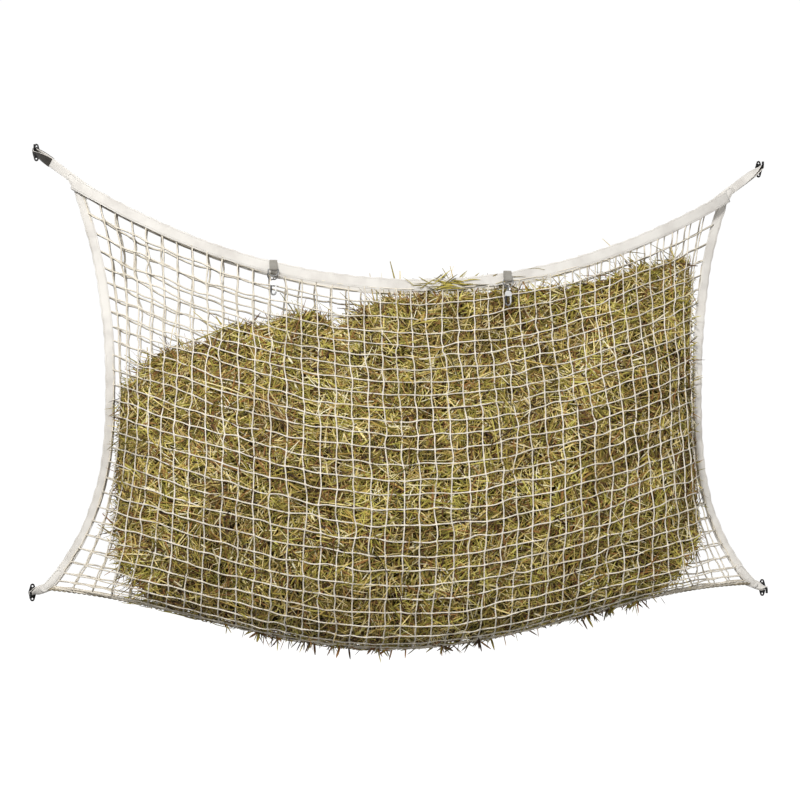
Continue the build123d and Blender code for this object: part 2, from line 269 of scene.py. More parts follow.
def tubes(name, points, radius, sides, material):
    """Round closed tubes along paths. radius is one number or one for each path point."""
    points = np.asarray(points, dtype=float)
    paths, rings, _ = points.shape
    tangent = unit(np.gradient(points, axis=1))
    right = unit(np.cross(tangent, OUT))
    lift = np.cross(tangent, right)
    turn = np.arange(sides) * 2 * np.pi / sides
    radius = np.broadcast_to(radius, (paths, rings))[..., None, None]
    circle = np.cos(turn)[:, None] * right[:, :, None, :] + np.sin(turn)[:, None] * lift[:, :, None, :]
    verts = (points[:, :, None, :] + radius * circle).reshape(-1, 3)
    loops, starts = loft_faces(paths, rings, sides)
    distance = np.repeat(along_path(points).ravel(), sides)
    around = np.tile(np.arange(sides) / sides, paths * rings)
    layers = {"along": distance, "around": around}
    return new_object(name, verts, loops, starts, material, layers=layers)


RIBBON_SECTION = (
    (-0.5, -0.25), (-0.47, -0.5), (-0.2, -0.5), (0.2, -0.5), (0.47, -0.5), (0.5, -0.25),
    (0.5, 0.25), (0.47, 0.5), (0.2, 0.5), (-0.2, 0.5), (-0.47, 0.5), (-0.5, 0.25),
)


def ribbon(name, points, wide, face, width, thick, material):
    """A flat woven band along one path: wide is its direction across, face the way it faces."""
    section = np.array(RIBBON_SECTION)
    if np.dot(np.cross(wide[0], face[0]), points[1] - points[0]) < 0:
        wide = -wide
    width = np.broadcast_to(width, len(points))[:, None, None]
    offset_wide = section[None, :, 0, None] * width * wide[:, None, :]
    offset_face = section[None, :, 1, None] * thick * face[:, None, :]
    verts = (points[:, None, :] + offset_wide + offset_face).reshape(-1, 3)
    loops, starts = loft_faces(1, len(points), len(section))
    distance = np.repeat(along_path(points[None])[0], len(section))
    side = (section[None, :, 0, None] * width).reshape(-1)
    layers = {"along": distance, "across": side}
    return new_object(name, verts, loops, starts, material, layers=layers)


def smooth_path(nodes, shares):
    """Catmull-Rom curves through net knots, sampled at the given shares of each cell's side."""
    before = np.concatenate([2 * nodes[:, :1] - nodes[:, 1:2], nodes[:, :-1]], axis=1)
    after = np.concatenate([nodes[:, 1:], 2 * nodes[:, -1:] - nodes[:, -2:-1]], axis=1)
    slope = (after - before) / 2
    a, b = nodes[:, :-1, None], nodes[:, 1:, None]
    m, n = slope[:, :-1, None], slope[:, 1:, None]
    u = np.array(shares)[None, None, :, None]
    curve = (
        (2 * u ** 3 - 3 * u ** 2 + 1) * a
        + (u ** 3 - 2 * u ** 2 + u) * m
        + (3 * u ** 2 - 2 * u ** 3) * b
        + (u ** 3 - u ** 2) * n
    )
    return np.concatenate([curve.reshape(len(nodes), -1, 3), nodes[:, -1:]], axis=1)


# Materials

def srgb(red, green, blue):
    """A colour given as it looks on a screen, 0 to 255, as linear values."""
    values = np.array((red, green, blue)) / 255
    linear = np.where(values <= 0.04045, values / 12.92, ((values + 0.055) / 1.055) ** 2.4)
    return (*linear, 1.0)


class Nodes:
    """A short way to build one material's nodes."""

    def __init__(self, name, roughness, metallic=0.0, sheen=0.0, specular=0.5):
        self.material = bpy.data.materials.new(name)
        self.material.use_nodes = True
        self.tree = self.material.node_tree
        self.shader = self.tree.nodes["Principled BSDF"]
        self.shader.inputs["Roughness"].default_value = roughness
        self.shader.inputs["Metallic"].default_value = metallic
        self.shader.inputs["Sheen Weight"].default_value = sheen
        self.shader.inputs["Specular IOR Level"].default_value = specular

    def add(self, kind, sources=None, **settings):
        node = self.tree.nodes.new(kind)
        for key, value in settings.items():
            setattr(node, key, value)
        for key, value in (sources or {}).items():
            if isinstance(value, bpy.types.NodeSocket):
                self.tree.links.new(value, node.inputs[key])
            else:
                node.inputs[key].default_value = value
        return node

    def attribute(self, name):
        return self.add("ShaderNodeAttribute", attribute_name=name).outputs["Fac"]

    def place(self):
        return self.add("ShaderNodeTexCoord").outputs["Object"]

    def sharpness(self):
        return self.add("ShaderNodeNewGeometry").outputs["Pointiness"]

    def noise(self, vector, scale, detail=3.0, rough=0.6):
        sources = {"Vector": vector, "Scale": scale, "Detail": detail, "Roughness": rough}
        return self.add("ShaderNodeTexNoise", sources).outputs["Fac"]

    def math(self, operation, a, b=0.0):
        return self.add("ShaderNodeMath", {0: a, 1: b}, operation=operation).outputs[0]

    def ramp(self, value, stops):
        node = self.add("ShaderNodeValToRGB", {"Fac": value})
        elements = node.color_ramp.elements
        while len(elements) < len(stops):
            elements.new(0.5)
        for element, (position, colour) in zip(elements, stops):
            element.position = position
            element.color = colour
        return node.outputs["Color"]

    def mix(self, factor, a, b, blend="MIX"):
        node = self.add("ShaderNodeMix", data_type="RGBA", blend_type=blend)
        for socket, value in ((node.inputs[0], factor), (node.inputs[6], a), (node.inputs[7], b)):
            if isinstance(value, bpy.types.NodeSocket):
                self.tree.links.new(value, socket)
            else:
                socket.default_value = value
        return node.outputs[2]

    def colour(self, socket):
        self.tree.links.new(socket, self.shader.inputs["Base Color"])

    def roughness(self, socket):
        self.tree.links.new(socket, self.shader.inputs["Roughness"])

    def bump(self, height, distance, strength=1.0):
        sources = {"Height": height, "Distance": distance, "Strength": strength}
        node = self.add("ShaderNodeBump", sources)
        self.tree.links.new(node.outputs["Normal"], self.shader.inputs["Normal"])


def grey(value):
    """A grey as a linear colour."""
    return (value, value, value, 1.0)


# Painted shade on the cords: the side facing this way is darkened, more so higher up the net.
PAINTED_SHADE_SIDE = (0.40, 0.42, -0.80)
PAINTED_SHADE_RISE = 0.75
WEBBING_RIB = 0.0026


def cord_material(name, pale, dull, pitch, strands):
    """Braided cord: a chevron of strands, with painted shade on the side turned from the key light, stronger
    high on the net.
    """
    m = Nodes(name, 0.82, sheen=0.25, specular=0.3)
    turns = m.math("MULTIPLY", m.attribute("along"), 2 * math.pi / pitch)
    round_it = m.math("MULTIPLY", m.attribute("around"), 2 * math.pi * strands)
    one_way = m.math("SINE", m.math("ADD", turns, round_it))
    other_way = m.math("SINE", m.math("SUBTRACT", turns, round_it))
    braid = m.math("MAXIMUM", one_way, other_way)
    fuzz = m.noise(m.place(), 900.0)
    m.bump(m.math("ADD", braid, fuzz), 0.0004, 0.7)
    patch = m.noise(m.place(), 9.0, 4.0)
    shade = m.math("ADD", m.math("MULTIPLY", braid, 0.10), patch)
    clean = m.ramp(shade, ((0.34, dull), (0.62, pale)))
    # Painted shade: the side of the cord that faces away from the key light and the upper part of the net are
    # mixed towards a dark brown-grey, broken up by random patches.
    normal = m.add("ShaderNodeNewGeometry").outputs["Normal"]
    turned = m.add("ShaderNodeVectorMath", {0: normal, 1: PAINTED_SHADE_SIDE}, operation="DOT_PRODUCT")
    lower = turned.outputs["Value"]
    height = m.add("ShaderNodeSeparateXYZ", {"Vector": m.place()}).outputs["Z"]
    held = m.math("MAXIMUM", m.math("MINIMUM", height, CORNER_TOP_Z), BELLY_BOTTOM_Z)
    raised = m.math("MULTIPLY", held, PAINTED_SHADE_RISE)
    painted_shade_amount = m.math("ADD", m.math("ADD", lower, m.math("MULTIPLY", patch, 0.3)), raised)
    painted_shade = m.ramp(painted_shade_amount, ((0.08, grey(0.0)), (0.50, grey(0.96))))
    m.colour(m.mix(painted_shade, clean, srgb(78, 71, 58)))
    return m.material


def webbing_material(name, pale, dull):
    """Woven webbing: ribs across the band, crossed by the warp."""
    m = Nodes(name, 0.85, sheen=0.3, specular=0.3)
    along = m.math("MULTIPLY", m.attribute("along"), 2 * math.pi / WEBBING_RIB)
    sideways = m.math("MULTIPLY", m.attribute("across"), 2 * math.pi / (0.8 * WEBBING_RIB))
    half_turn = m.math("MULTIPLY", m.math("SIGN", m.math("SINE", sideways)), math.pi / 2)
    weave = m.math("SINE", m.math("ADD", along, half_turn))
    ribs = m.math("ABSOLUTE", m.math("SINE", sideways))
    cloth = m.math("ADD", weave, ribs)
    m.bump(cloth, 0.00010, 0.35)
    patch = m.noise(m.place(), 14.0, 5.0)
    shade = m.math("ADD", m.math("MULTIPLY", cloth, 0.07), patch)
    m.colour(m.ramp(shade, ((0.36, dull), (0.60, pale))))
    return m.material


def hay_material(name, dark, middle, light):
    """Dry stalks: each has its own tint, streaked along its length."""
    m = Nodes(name, 0.68, sheen=0.08, specular=0.35)
    streak = m.noise(m.place(), 260.0, 3.0)
    shade = m.math("ADD", m.math("MULTIPLY", streak, 0.35), m.math("MULTIPLY", m.attribute("tint"), 0.75))
    own = m.ramp(shade, ((0.12, dark), (0.45, middle), (0.80, light)))
    patch = m.ramp(m.noise(m.place(), 7.5, 4.0), ((0.40, grey(0.0)), (0.66, grey(0.55))))
    m.colour(m.mix(patch, own, srgb(150, 118, 84), "MULTIPLY"))
    m.bump(m.noise(m.place(), 1500.0), 0.0002, 0.5)
    return m.material


def hay_core_material():
    """The mass behind the stalks: hay's own brown, darkened as painted shade in the gaps."""
    m = Nodes("hay_core", 0.95, specular=0.1)
    broad = m.noise(m.place(), 22.0, 6.0, 0.7)
    fine = m.noise(m.place(), 210.0, 4.0, 0.7)
    shade = m.math("ADD", m.math("MULTIPLY", broad, 0.4), m.math("MULTIPLY", fine, 0.6))
    # Painted shade: these dark browns stand for hay in shadow between the stalks.
    stops = ((0.38, srgb(34, 25, 12)), (0.52, srgb(72, 60, 28)), (0.68, srgb(112, 101, 50)))
    m.colour(m.ramp(shade, stops))
    m.bump(fine, 0.006, 1.0)
    return m.material


def metal_material(name, colour, dull, roughness):
    """Zinc plated steel, clouded and rubbed brighter on its edges."""
    m = Nodes(name, roughness, metallic=1.0)
    cloud = m.noise(m.place(), 300.0, 4.0)
    edge = m.ramp(m.sharpness(), ((0.48, grey(0.0)), (0.56, grey(1.0))))
    m.colour(m.mix(edge, m.ramp(cloud, ((0.35, dull), (0.65, colour))), srgb(214, 214, 212)))
    m.roughness(m.ramp(cloud, ((0.3, grey(roughness + 0.12)), (0.7, grey(roughness - 0.06)))))
    m.bump(m.noise(m.place(), 2200.0), 0.00005, 0.6)
    return m.material


def black_coat_material():
    """Black powder coat, worn a little grey at the edges."""
    m = Nodes("black_powder_coat", 0.5, specular=0.3)
    speck = m.noise(m.place(), 1600.0, 2.0)
    edge = m.ramp(m.sharpness(), ((0.55, grey(0.0)), (0.75, grey(0.35))))
    base = m.ramp(speck, ((0.3, srgb(9, 9, 9)), (0.7, srgb(18, 18, 17))))
    m.colour(m.mix(edge, base, srgb(60, 58, 55)))
    m.roughness(m.ramp(speck, ((0.3, grey(0.45)), (0.7, grey(0.62)))))
    m.bump(speck, 0.00012, 0.7)
    return m.material


PALE_CORD = srgb(240, 231, 214)
DULL_CORD = srgb(208, 198, 178)
net_cord = cord_material("net_cord", PALE_CORD, DULL_CORD, 0.0042, 2)
# The rope's colours are darker than the net cord's: painted shade along the net's bottom edge.
rope_cord = cord_material("rope_cord", srgb(176, 165, 142), srgb(118, 107, 86), 0.0036, 3)
webbing = webbing_material("white_webbing", srgb(226, 222, 215), srgb(208, 203, 196))
worn_webbing = webbing_material("worn_webbing", srgb(150, 146, 138), srgb(98, 94, 88))
dark_webbing = webbing_material("dark_webbing", srgb(70, 66, 60), srgb(38, 35, 32))
thread = cord_material("thread", srgb(226, 221, 208), srgb(190, 183, 164), 0.0012, 2)
steel = metal_material("zinc_steel", srgb(84, 85, 88), srgb(50, 51, 54), 0.48)
spring_steel = metal_material("spring_steel", srgb(120, 120, 124), srgb(90, 90, 94), 0.4)
black_coat = black_coat_material()
HAY_COLOURS = {
    "olive": (srgb(52, 46, 14), srgb(128, 114, 40), srgb(190, 175, 80)),
    "green": (srgb(80, 77, 22), srgb(156, 146, 56), srgb(212, 202, 104)),
    "straw": (srgb(136, 110, 45), srgb(208, 180, 96), srgb(248, 230, 158)),
    "pale": (srgb(190, 175, 112), srgb(238, 224, 166), srgb(252, 245, 210)),
    "brown": (srgb(40, 26, 12), srgb(100, 68, 32), srgb(170, 124, 66)),
}


# Netting

def even_rows(count):
    """Heights that space a panel's rows evenly along its own middle."""
    t = np.linspace(0, 1, 600)
    _, z = panel_xz(np.zeros_like(t), t, SIDE_BAND_WIDTH, BAND_WIDTH, 0)
    depth = front_depth(np.zeros_like(t), t)
    length = np.concatenate([[0], np.cumsum(np.hypot(np.diff(z), np.diff(depth)))])
    return np.interp(np.linspace(0, length[-1], count), length, t)


def netting(panel, depth_of, step_out, push_share, cord_r, seed):
    """One panel's knots: evenly laid on its surface, then pulled about by the load."""
    draw = np.random.default_rng(seed)
    s, t = np.meshgrid(np.linspace(-1, 1, COLUMNS + 1), even_rows(ROWS + 1), indexing="ij")
    x, z = mesh_xz(s, t)
    s, t = panel_st(x, z)
    inner = np.clip((1 - np.abs(s)) / 0.08, 0, 1) * np.clip(t / 0.05, 0, 1) * np.clip((1 - t) / 0.06, 0, 1)
    slack = 1 + 1.3 * empty_corner(s, t)
    depth = depth_of(s, t) + step_out + push_share * hay_push(x, z, s, t)
    depth = depth + inner * draw.normal(0, 0.0012, s.shape)
    x = x + inner * slack * (0.0022 * drift_x(x + seed, z) + draw.normal(0, 0.0011, s.shape))
    z = z + inner * slack * (0.0022 * drift_z(x + seed, z) + draw.normal(0, 0.0011, s.shape))
    for snag_x, snag_z in draw.uniform((-0.6, -0.5), (0.6, 0.1), (9, 2)):
        pull = 0.010 * np.exp(-((x - snag_x) ** 2 + (z - snag_z) ** 2) / 0.055 ** 2)
        reach = np.maximum(np.hypot(x - snag_x, z - snag_z), 0.02)
        x, z = x - pull * (x - snag_x) / reach, z - pull * (z - snag_z) / reach
    knots = np.stack([x, -depth, z + NET_MID_Z], axis=-1)
    lace = np.where((np.arange(COLUMNS + 1)[:, None] + np.arange(ROWS + 1)) % 2, 1, -1) * 0.0005
    for part, lines, side in (("uprights", knots, 1), ("cross_cords", knots.transpose(1, 0, 2), -1)):
        lines = lines.copy()
        lines[..., 1] += side * (lace if side == 1 else lace.T)
        shares = (0, 0.08, 0.28, 0.5, 0.72, 0.92)
        path = smooth_path(lines, shares)
        cells = lines.shape[1] - 1
        bow = np.tile(np.sin(np.pi * np.array(shares)), cells)
        reach = np.repeat(draw.normal(0, 0.0014, (lines.shape[0], cells, 2)), len(shares), axis=1)
        path[:, :-1, 2 if side == -1 else 0] += bow * reach[..., 0]
        path[:, :-1, 1] += bow * reach[..., 1]
        swell = np.append(np.tile((KNOT_SWELL, 1.12, 1, 0.95, 1, 1.12), cells), KNOT_SWELL)
        loose = empty_corner(s, t) if side == 1 else empty_corner(s, t).T
        spread = np.concatenate([np.repeat(loose[:, :-1], len(shares), axis=1), loose[:, -1:]], axis=1)
        fluffy = 1 + 0.30 * spread
        uneven = 1 + draw.normal(0, 0.06, path.shape[:2])
        piece = tubes(f"{panel}_{part}", path, cord_r * swell[None, :] * fluffy * uneven, 6, net_cord)
        belongs(piece, panel)


netting("front_net", front_depth, LAYER_GAP, 1.0, CORD_R, 1)
netting("back_net", back_depth, -LAYER_GAP, 0.25, 1.2 * CORD_R, 2)


# Webbing bands with their stitching

stitch_paths = []


def stitch_row(points, wide, face, offset, lift):
    """Runs of thread along a band: each stitch dips into the cloth at both ends."""
    distance = along_path(points[None])[0]
    starts = np.arange(0.004, distance[-1] - 0.006, STITCH_PITCH)
    shares = np.array((0, 0.3, 0.7, 1))
    dips = np.array((-0.0005, 0.0003, 0.0003, -0.0005)) + lift
    line = points + wide * offset
    at = starts[:, None] + shares * STITCH_LENGTH
    place = np.stack([np.interp(at, distance, line[:, k]) for k in range(3)], axis=-1)
    normal = np.stack([np.interp(at, distance, face[:, k]) for k in range(3)], axis=-1)
    stitch_paths.append(place + normal * dips[None, :, None])


def sew_through(points, wide, face, offsets, lift):
    """Rows of stitches that show on both faces of a band."""
    for offset in offsets:
        stitch_row(points, wide, face, offset, lift)
        stitch_row(points, wide, -face, offset, lift)


def band_frame(points, wide):
    """The direction in which a band faces, square to its run and its width."""
    run = unit(np.gradient(points, axis=0))
    face = unit(np.cross(run, wide))
    return face * np.where(face[:, 1:2] > 0, -1, 1)


def mouth_band(name, depth_of, step_out, seed):
    """The band along one panel's mouth edge, puckered at each cell and sewn on both faces."""
    draw = waves(seed, 0.11)
    x = np.linspace(-TOP_HALF_WIDTH + 0.002, TOP_HALF_WIDTH - 0.002, 420)
    s = x / TOP_HALF_WIDTH
    cell = (s + 1) * COLUMNS / 2
    pucker = 0.0005 * np.cos(2 * np.pi * cell) + 0.0006 * draw(x, 0 * x)
    depth = depth_of(s, np.ones_like(s)) + step_out + pucker
    points = np.stack([x, -depth, top_z(x) - BAND_WIDTH / 2 + NET_MID_Z + 0.6 * pucker], axis=-1)
    lean = 0.10 * draw(x, 0 * x + 0.4)
    wide = unit(np.stack([-np.gradient(top_z(x), x) * 0.6, lean, np.ones_like(x)], axis=-1))
    face = band_frame(points, wide)
    width = BAND_WIDTH + 0.0009 * np.cos(2 * np.pi * cell)
    piece = ribbon(name, points, wide, face, width, WEB_THICK, webbing)
    sew_through(points, wide, face, (-0.0105, 0.0112), WEB_THICK / 2)
    belongs(piece, name)


def side_band(name, side, seed):
    """The doubled band down one side, sewn through both panels."""
    draw = waves(seed, 0.12)
    z = np.linspace(CORNER_BOTTOM_Z + 0.008, CORNER_TOP_Z - 0.012, 300)
    t = (z - z[0]) / (z[-1] - z[0])
    cell = np.interp(t, even_rows(ROWS + 1), np.arange(ROWS + 1))
    pucker = 0.0005 * np.cos(2 * np.pi * cell) + 0.0006 * draw(z, 0 * z)
    x = side * (side_x(z) - SIDE_BAND_WIDTH / 2 + 0.7 * pucker)
    points = np.stack([x, -edge_depth(np.ones_like(t), t) - pucker, z + NET_MID_Z], axis=-1)
    run = unit(np.gradient(points, axis=0))
    lean = 0.25 * draw(z, 0 * z + 0.3)
    wide = unit(np.stack([np.ones_like(t), lean, -run[:, 0] / run[:, 2]], axis=-1))
    face = band_frame(points, wide)
    width = SIDE_BAND_WIDTH - 0.003 + 0.0006 * np.cos(2 * np.pi * cell)
    piece = ribbon(name, points, wide, face, width, 2 * WEB_THICK, webbing)
    sew_through(points, wide, face, (-0.0088, 0.0088), WEB_THICK)
    belongs(piece, name)


mouth_band("top_front_band", front_depth, LAYER_GAP, 21)
mouth_band("top_back_band", back_depth, -LAYER_GAP, 22)
side_band("left_side_band", -1, 23)
side_band("right_side_band", 1, 24)


# Bottom rope

def bottom_rope():
    """Two strands laid up together along the fold."""
    s = np.linspace(-1, 1, 1200)
    x = s * (MID_HALF_WIDTH + BOTTOM_FLARE - 0.008)
    route = np.stack([x, -edge_depth(s, 0 * s), bottom_z(x) + NET_MID_Z], axis=-1)
    run = unit(np.gradient(route, axis=0))
    right = unit(np.cross(run, OUT))
    lift = np.cross(right, run)
    turn = along_path(route[None])[0] * 2 * np.pi / 0.026
    strands = []
    for phase in (0, np.pi):
        swing = np.cos(turn + phase)[:, None] * right + np.sin(turn + phase)[:, None] * lift
        strands.append(route + 0.9 * ROPE_STRAND_R * swing)
    piece = tubes("bottom_rope_strands", np.array(strands), ROPE_STRAND_R, 7, rope_cord)
    belongs(piece, "bottom_rope")


bottom_rope()


# Corner loops, their patches and the dark sleeve

def corner_points(level, side):
    """Where a corner's loop is sewn to the net, and the hook that it goes over."""
    low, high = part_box(f"{level}_{side}_hook_plate")
    sign = 1 if side == "right" else -1
    hook_z = HOOK_Z if level == "top" else -HOOK_Z
    hook = np.array(((low[0] + high[0]) / 2, 0.0, hook_z + NET_MID_Z))
    if level == "top":
        tail_x, tail_z = TOP_HALF_WIDTH - 0.004, CORNER_TOP_Z - 0.006
    else:
        tail_x, tail_z = MID_HALF_WIDTH + BOTTOM_FLARE - 0.014, CORNER_BOTTOM_Z + 0.002
    return np.array((sign * tail_x, 0.0, tail_z + NET_MID_Z)), hook


def loop_path(tail, hook, overlap, start=0.0, extra=0.0):
    """Round a hook and back. The band lies flat where it is sewn and stands on edge at the hook."""
    heading = unit(hook - tail)
    across_way = np.cross(heading, OUT)
    length = np.linalg.norm(hook - tail)
    share = np.linspace(start, 1, 40)
    angle = (0.06 + 0.94 * share ** 3.5) * np.pi / 2
    reach = LOOP_SEWN_R + (LOOP_HOOK_R - LOOP_SEWN_R) * share ** 1.5 + extra
    depth = LOOP_SEWN_DEPTH + (LOOP_HOOK_DEPTH - LOOP_SEWN_DEPTH) * share
    middle = tail + (length * share - overlap * (1 - share))[:, None] * heading + depth[:, None] * OUT
    wide = np.cos(angle)[:, None] * across_way + np.sin(angle)[:, None] * OUT
    face = np.sin(angle)[:, None] * across_way - np.cos(angle)[:, None] * OUT
    out = middle + reach[:, None] * face
    back = (middle - reach[:, None] * face)[::-1]
    turn = np.linspace(0, np.pi, 14)[1:-1, None]
    bend = hook + LOOP_HOOK_DEPTH * OUT + reach[-1] * (np.cos(turn) * across_way + np.sin(turn) * heading)
    points = np.concatenate([out, bend, back])
    return points, np.concatenate([wide, np.tile(OUT, (len(bend), 1)), wide[::-1]])


def build_loop(name, path, width, thick, material):
    points, wide = path
    run = unit(np.gradient(points, axis=0))
    wide = unit(wide - run * np.sum(run * wide, axis=1, keepdims=True))
    face = unit(np.cross(run, wide))
    piece = ribbon(f"{name}_webbing", points, wide, face, width, thick, material)
    belongs(piece, name)


DISC_POINTS = 18


def hull_outline(discs):
    """The outline round a few discs, in order, as points in the wall's plane."""
    turn = np.linspace(0, 2 * np.pi, DISC_POINTS, endpoint=False)
    rims = [np.stack([x + r * np.cos(turn), z + r * np.sin(turn)], axis=1) for x, z, r in discs]
    cloud = np.concatenate(rims)
    order = cloud[np.lexsort((cloud[:, 1], cloud[:, 0]))]
    chains = []
    for run in (order, order[::-1]):
        chain = []
        for point in run:
            while len(chain) > 1:
                a, b = chain[-1] - chain[-2], point - chain[-1]
                if a[0] * b[1] - a[1] * b[0] > 1e-12:
                    break
                chain.pop()
            chain.append(point)
        chains += chain[:-1]
    return np.array(chains)


def corner_patch(level, side):
    """A folded patch of webbing, sewn round its edge over the ends of the bands."""
    name = f"{level}_{side}_corner_patch"
    wall_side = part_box(name)[1][1]
    sign = 1 if side == "right" else -1
    if level == "top":
        discs = (
            (sign * 0.842, top_z(0.842) - BAND_WIDTH / 2, 0.012),
            (sign * (float(side_x(0.467)) - SIDE_BAND_WIDTH / 2), 0.467, 0.012),
            (sign * 0.866, 0.497, 0.009),
        )
    else:
        discs = (
            (sign * (float(side_x(-0.508)) - SIDE_BAND_WIDTH / 2), -0.508, 0.010),
            (sign * (float(side_x(-0.528)) - SIDE_BAND_WIDTH / 2), -0.528, 0.011),
            (sign * 0.922, -0.551, 0.008),
        )
    outline = hull_outline(discs)
    centre = outline.mean(axis=0)
    steps = (
        (1.0, 0.0), (1.0, 0.5), (0.97, 0.9), (0.84, 1.0), (0.78, 0.80), (0.72, 1.0), (0.4, 1.15), (0.02, 1.2),
    )
    rings = []
    for share, height in steps:
        ring = centre + (outline - centre) * share
        y = wall_side - 0.0004 - 0.0065 * height
        rings.append(np.stack([ring[:, 0], np.full(len(ring), y), ring[:, 1] + NET_MID_Z], axis=1))
    verts = np.concatenate(rings)
    loops, starts = loft_faces(1, len(steps), len(outline))
    layers = {"along": verts[:, 0], "across": verts[:, 2]}
    piece = new_object(f"{name}_cloth", verts, loops, starts, webbing, layers=layers)
    ring = centre + (outline - centre) * 0.78
    edge = np.stack([ring[:, 0], np.full(len(ring), wall_side - 0.0060), ring[:, 1] + NET_MID_Z], axis=1)
    edge = np.concatenate([edge, edge[:1]])
    stitch_row(edge, np.tile(UP, (len(edge), 1)), np.tile(OUT, (len(edge), 1)), 0.0, 0.0003)
    belongs(piece, name)


for level in ("top", "bottom"):
    for side in ("left", "right"):
        tail, hook = corner_points(level, side)
        overlap = 0.034 if level == "top" else 0.020
        path = loop_path(tail, hook, overlap)
        build_loop(f"{level}_{side}_loop", path, LOOP_WIDTH, WEB_THICK, webbing)
        corner_patch(level, side)

tail, hook = corner_points("top", "left")
sleeve = loop_path(tail, hook, 0.034, start=0.68, extra=0.0017)
build_loop("top_left_loop_sleeve", sleeve, LOOP_WIDTH + 0.0016, 0.0013, dark_webbing)


# Closures: folded tabs for the rings, and metal finishes for the CAD fittings

def ring_tab(name):
    """Webbing folded round a ring's bar and sewn to its band through both layers."""
    low, high = (np.array(c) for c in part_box(name))
    middle = (low[0] + high[0]) / 2
    width = high[0] - low[0]
    bar_y, bar_z, radius = low[1] + 0.0035, low[2] + 0.0035, 0.0027
    back_y = high[1] - 0.0008
    turn = np.linspace(-0.15 * np.pi, -1.25 * np.pi, 14)
    bend = [(bar_y + radius * math.cos(a), bar_z + radius * math.sin(a)) for a in turn]
    rise = [(back_y, high[2]), (back_y, bar_z + 0.013), (back_y - 0.0025, bar_z + 0.0065)]
    fall = [(bar_y + 0.0022, bar_z + 0.0072), (back_y - 0.0034, bar_z + 0.0148), (back_y - 0.0018, high[2])]
    route = np.array(rise + bend + fall)
    places = np.stack([np.full(len(route), middle), route[:, 0], route[:, 1]], axis=1)
    smooth = smooth_path(places[None], (0, 0.33, 0.67))[0]
    run = unit(np.gradient(smooth, axis=0))
    wide = np.tile(np.array((1.0, 0.0, 0.0)), (len(smooth), 1))
    piece = ribbon(f"{name}_webbing", smooth, wide, unit(np.cross(run, wide)), width, 0.0014, worn_webbing)
    face_y = back_y - 0.0026
    for z in (high[2] - 0.0025, high[2] - 0.0095):
        seam = np.stack([np.linspace(low[0], high[0], 12), np.full(12, face_y), np.full(12, z)], axis=1)
        stitch_row(seam, np.tile(UP, (12, 1)), np.tile(OUT, (12, 1)), 0.0, 0.0003)
    belongs(piece, name)


for side in ("left", "right"):
    for panel in ("front", "back"):
        ring_tab(f"{side}_{panel}_ring_tab")

THREAD_RADII = np.array((0.00018, 0.0004, 0.0004, 0.00018))
threads = tubes("seam_threads", np.concatenate(stitch_paths), THREAD_RADII, 5, thread)
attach(threads, "net")


for node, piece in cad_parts.items():
    if node.endswith("hook_plate"):
        piece.material_slots[0].material = black_coat
    elif node.endswith("spring"):
        piece.material_slots[0].material = spring_steel
    elif "ring" in node and "tab" not in node or node.endswith(("eye", "body", "gate", "pin")):
        piece.material_slots[0].material = steel


# Hay

HAY_LEFT_X, HAY_RIGHT_X = -0.712, 0.728
HAY_STEPS = ((-0.260, 0.330, 0.055), (0.070, 0.380, 0.025), (0.430, 0.270, 0.075))
HAY_DIPS = ((-0.505, 0.042, 0.100), (-0.385, 0.026, 0.045), (-0.185, 0.046, 0.038))


def hay_top_z(x):
    """Height of the hay, lowest at the upper left, with a few hollows along its top."""
    rise = np.clip((x + 0.740) / 0.300, 0, 1)
    level = 0.150 * rise * (2 - rise) - 0.075 * (1 - rise)
    for start, run, climb in HAY_STEPS:
        level = level + climb * np.clip((x - start) / run, 0, 1)
    for place, drop, spread in HAY_DIPS:
        level = level - drop * np.exp(-((x - place) / spread) ** 2)
    return level


def hay_low_z(x):
    """Bottom of the hay, which rounds off the net's lower corners."""
    return bottom_z(x) + 0.090 * np.clip((np.abs(x) - 0.600) / 0.130, 0, 1) ** 2


ragged = waves(31, 0.10)


def hay_surface(x, z, panel):
    """Depth of the netting that the hay presses on."""
    s, t = panel_st(x, z)
    if panel == "front":
        return front_depth(s, t) + LAYER_GAP + hay_push(x, z, s, t)
    return back_depth(s, t) - LAYER_GAP + 0.25 * hay_push(x, z, s, t)


def hay_core():
    """The dark mass inside the heap, which the stalks cover."""
    stations, ring_count = 170, 56
    x = np.linspace(-0.715, 0.735, stations)
    low = hay_low_z(x) + 0.012
    high = np.minimum(hay_top_z(x) - 0.014 + 0.006 * ragged(x, 0 * x), top_z(x) - 0.040)
    end = np.clip((0.735 - np.abs(x - 0.01)) / 0.05, 0.04, 1) ** 0.5
    middle_z = (low + high) / 2
    turn = np.linspace(0, 2 * np.pi, ring_count, endpoint=False)
    share = np.sign(np.sin(turn)) * np.abs(np.sin(turn)) ** 0.55
    z = middle_z[:, None] + (high - low)[:, None] / 2 * share[None, :] * end[:, None]
    grid_x = np.repeat(x[:, None], ring_count, axis=1)
    near = hay_surface(grid_x, z, "back") + 0.010
    far = np.maximum(hay_surface(grid_x, z, "front") - 0.015, near + 0.004)
    lean = np.sign(np.cos(turn)) * np.abs(np.cos(turn)) ** 0.4
    depth = (near + far) / 2 + (far - near) / 2 * lean[None, :]
    rough = waves(32, 0.022, 14)
    depth = depth + 0.0035 * rough(grid_x, z) * lean[None, :]
    verts = np.stack([grid_x, -depth, z + NET_MID_Z], axis=-1)[:, ::-1].reshape(-1, 3)
    loops, starts = loft_faces(1, stations, ring_count)
    piece = new_object("hay_core", verts, loops, starts, hay_core_material())
    belongs(piece, "hay_fill")


BLADE = np.array(((-1.0, -0.35), (1.0, -0.35), (0.0, 0.6)))


